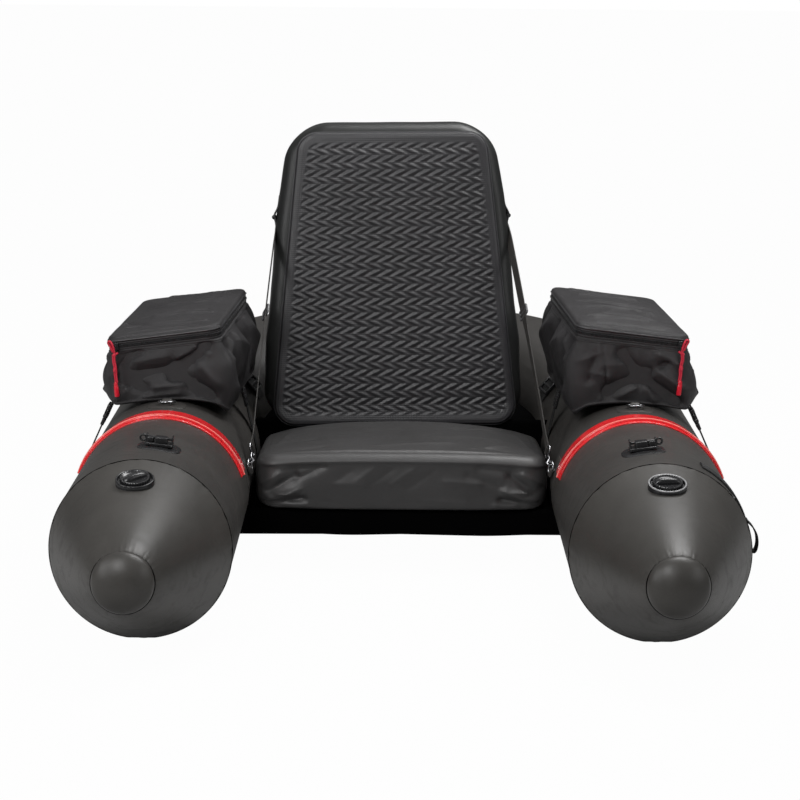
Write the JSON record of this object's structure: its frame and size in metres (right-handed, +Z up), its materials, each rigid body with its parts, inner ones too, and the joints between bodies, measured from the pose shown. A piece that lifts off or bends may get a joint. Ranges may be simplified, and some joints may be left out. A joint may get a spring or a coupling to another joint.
{
  "type": "float tube",
  "caption": "U-shaped inflatable float tube for one angler, with conical noses, a seat cushion, a padded backrest and zipped gear bags on the pontoons.",
  "frame": {"origin": "middle of the hull's outline on the ground plane that the keel strips rest on", "axes": "+Z up; the nose cones point to -Y and the closed stern is at +Y; +X is the right side seen from the open end"},
  "size_m": [1.1655, 1.7, 0.7694],
  "materials": {
    "hull_fabric": "satin coated",
    "cone_fabric": "satin coated",
    "red_rubber": "satin",
    "black_rubber": "matt",
    "black_plastic": "moulded",
    "grey_plastic": "moulded",
    "bag_fabric": "woven nylon",
    "seat_fabric": "satin coated",
    "back_fabric": "satin coated",
    "foam_pad": "embossed foam",
    "sheet_fabric": "coated",
    "webbing": "woven webbing",
    "steel": "polished",
    "red_cord": "braided",
    "red_plastic": "moulded"
  },
  "bodies": {
    "hull": {"left_back_strap": "webbing", "left_bag_body": "bag_fabric", "left_hook_ring": "steel", "left_hook_ring_patch": "hull_fabric", "left_inner_front_buckle": "black_plastic", "left_inner_front_strap": "webbing", "left_inner_rear_strap": "webbing", "left_nose_dome": "cone_fabric", "left_outer_buckle_socket": "black_plastic", "left_outer_strap": "webbing", "left_pontoon": "hull_fabric", "left_red_band": "red_rubber", "left_rub_strake": "black_rubber", "left_strap_hook": "steel", "left_top_clip": "black_plastic", "left_tow_ring_patch": "hull_fabric", "left_valve_body": "grey_plastic", "rear_deck": "sheet_fabric", "right_back_strap": "webbing", "right_bag_body": "bag_fabric", "right_flank_strap": "webbing", "right_hook_ring": "steel", "right_hook_ring_patch": "hull_fabric", "right_inner_front_buckle": "black_plastic", "right_inner_front_strap": "webbing", "right_inner_rear_strap": "webbing", "right_nose_dome": "cone_fabric", "right_outer_buckle_socket": "black_plastic", "right_outer_strap": "webbing", "right_pontoon": "hull_fabric", "right_red_band": "red_rubber", "right_rub_strake": "black_rubber", "right_strap_hook": "steel", "right_top_clip": "black_plastic", "right_tow_ring_patch": "hull_fabric", "right_valve_body": "grey_plastic", "seat_base_sheet": "sheet_fabric", "seat_cushion": "seat_fabric", "stern_tube": "hull_fabric"},
    "backrest": {"backrest_body": "back_fabric", "backrest_pad": "foam_pad"},
    "hand_loop": {"right_hand_loop": "webbing"},
    "left_lid": {"left_bag_lid": "bag_fabric"},
    "left_zip_pull": {"left_zip_slider": "grey_plastic", "left_zip_cord": "red_cord", "left_zip_cord_end": "red_plastic"},
    "left_cap": {"left_valve_cap": "black_plastic"},
    "left_plunger": {"left_valve_plunger": "black_rubber"},
    "left_tow_ring": {"left_tow_ring": "steel"},
    "left_plug": {"left_outer_buckle_plug": "black_plastic"},
    "left_strap_slider": {"left_strap_slider": "grey_plastic"},
    "right_lid": {"right_bag_lid": "bag_fabric"},
    "right_zip_pull": {"right_zip_slider": "grey_plastic", "right_zip_cord": "red_cord", "right_zip_cord_end": "red_plastic"},
    "right_cap": {"right_valve_cap": "black_plastic"},
    "right_plunger": {"right_valve_plunger": "black_rubber"},
    "right_tow_ring": {"right_tow_ring": "steel"},
    "right_plug": {"right_outer_buckle_plug": "black_plastic"},
    "right_strap_slider": {"right_strap_slider": "grey_plastic"}
  },
  "joints": [
    {"name": "backrest_fold", "type": "hinge", "parent": "hull", "child": "backrest", "pos_m": [0, 0.268, 0.215], "axis": [1, 0, 0], "range_deg": [0, 90], "deforming": ["left_back_strap", "right_back_strap"]},
    {"name": "left_lid_open", "type": "hinge", "parent": "hull", "child": "left_lid", "pos_m": [-0.52182, 0.18281, 0.40487], "axis": [-0.0607, -0.9979, -0.0239], "range_deg": [0, 110]},
    {"name": "left_zip_slide", "type": "slide", "parent": "hull", "child": "left_zip_pull", "axis": [0.9942, -0.0625, 0.0872], "range_m": [0, 0.13]},
    {"name": "left_cap_turn", "type": "hinge", "parent": "hull", "child": "left_cap", "pos_m": [-0.422, -0.628, 0.27638], "axis": [0, -0.2728, 0.9621], "range_deg": [0, 90]},
    {"name": "left_plunger_push", "type": "slide", "parent": "hull", "child": "left_plunger", "axis": [0, 0.2728, -0.9621], "range_m": [0, 0.004], "stiffness_N_per_m": 300, "springref_m": -0.002},
    {"name": "left_tow_ring_swing", "type": "hinge", "parent": "hull", "child": "left_tow_ring", "pos_m": [-0.422, -0.068, 0.303], "axis": [-1, 0, 0], "range_deg": [0, 100]},
    {"name": "left_buckle_release", "type": "slide", "parent": "hull", "child": "left_plug", "axis": [-0.4065, 0, -0.9136], "range_m": [0, 0.022], "deforming": ["left_outer_strap"]},
    {"name": "left_strap_slider_slide", "type": "slide", "parent": "hull", "child": "left_strap_slider", "axis": [0.0747, 0.7574, 0.6486], "range_m": [-0.08, 0.03]},
    {"name": "right_lid_open", "type": "hinge", "parent": "hull", "child": "right_lid", "pos_m": [0.52182, 0.18281, 0.40487], "axis": [-0.0607, 0.9979, 0.0239], "range_deg": [0, 110]},
    {"name": "right_zip_slide", "type": "slide", "parent": "hull", "child": "right_zip_pull", "axis": [-0.9942, -0.0625, 0.0872], "range_m": [0, 0.13]},
    {"name": "right_cap_turn", "type": "hinge", "parent": "hull", "child": "right_cap", "pos_m": [0.422, -0.628, 0.27638], "axis": [0, -0.2728, 0.9621], "range_deg": [0, 90]},
    {"name": "right_plunger_push", "type": "slide", "parent": "hull", "child": "right_plunger", "axis": [0, 0.2728, -0.9621], "range_m": [0, 0.004], "stiffness_N_per_m": 300, "springref_m": -0.002},
    {"name": "right_tow_ring_swing", "type": "hinge", "parent": "hull", "child": "right_tow_ring", "pos_m": [0.422, -0.068, 0.303], "axis": [-1, 0, 0], "range_deg": [0, 100]},
    {"name": "right_buckle_release", "type": "slide", "parent": "hull", "child": "right_plug", "axis": [0.4065, 0, -0.9136], "range_m": [0, 0.022], "deforming": ["right_outer_strap"]},
    {"name": "right_strap_slider_slide", "type": "slide", "parent": "hull", "child": "right_strap_slider", "axis": [-0.0747, 0.7574, 0.6486], "range_m": [-0.08, 0.03]},
    {"name": "hand_loop_swing", "type": "hinge", "parent": "hull", "child": "hand_loop", "pos_m": [0.56965, -0.482, 0.18811], "axis": [0, -1, 0], "range_deg": [0, 75]}
  ]
}
